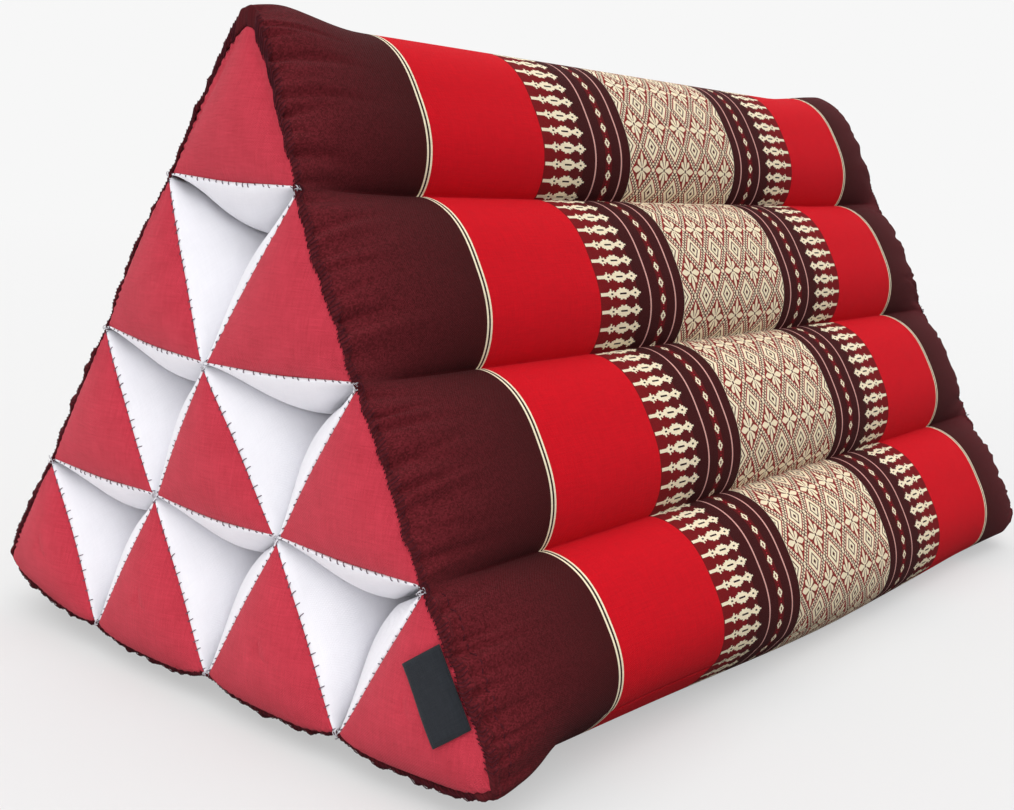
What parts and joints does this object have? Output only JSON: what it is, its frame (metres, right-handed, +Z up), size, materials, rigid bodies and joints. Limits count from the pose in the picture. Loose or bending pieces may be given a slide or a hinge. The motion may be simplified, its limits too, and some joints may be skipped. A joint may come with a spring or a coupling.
{
  "type": "thai triangle cushion",
  "caption": "Triangular stuffed cushion of small triangular rolls in a striped woven cover, with red end triangles and open white hollows between them.",
  "frame": {"origin": "on the floor under the middle of the cushion, at the flat underside of the base", "axes": "+X along the cushion's length to the end without the label, -Y out of the front face, +Z up"},
  "size_m": [0.5134, 0.2976, 0.2693],
  "materials": {
    "white_cotton": "smooth plain cotton",
    "woven_cover": "ribbed cotton weave with stripes and a cream pattern",
    "red_cotton": "matt plain weave",
    "black_tape": "dense smooth tape"
  },
  "bodies": {
    "root": {"roll_1_1": "white_cotton", "roll_2_1": "white_cotton", "roll_2_2": "white_cotton", "roll_3_1": "white_cotton", "roll_3_2": "white_cotton", "roll_3_3": "white_cotton", "roll_4_1": "white_cotton", "roll_4_2": "white_cotton", "roll_4_3": "white_cotton", "roll_4_4": "white_cotton", "cover_front": "woven_cover", "cover_base": "woven_cover", "cover_back": "woven_cover", "cap_left_1_1": "red_cotton", "cap_left_2_1": "red_cotton", "cap_left_2_2": "red_cotton", "cap_left_3_1": "red_cotton", "cap_left_3_2": "red_cotton", "cap_left_3_3": "red_cotton", "cap_left_4_1": "red_cotton", "cap_left_4_2": "red_cotton", "cap_left_4_3": "red_cotton", "cap_left_4_4": "red_cotton", "cap_right_1_1": "red_cotton", "cap_right_2_1": "red_cotton", "cap_right_2_2": "red_cotton", "cap_right_3_1": "red_cotton", "cap_right_3_2": "red_cotton", "cap_right_3_3": "red_cotton", "cap_right_4_1": "red_cotton", "cap_right_4_2": "red_cotton", "cap_right_4_3": "red_cotton", "cap_right_4_4": "red_cotton", "label": "black_tape"}
  },
  "joints": []
}
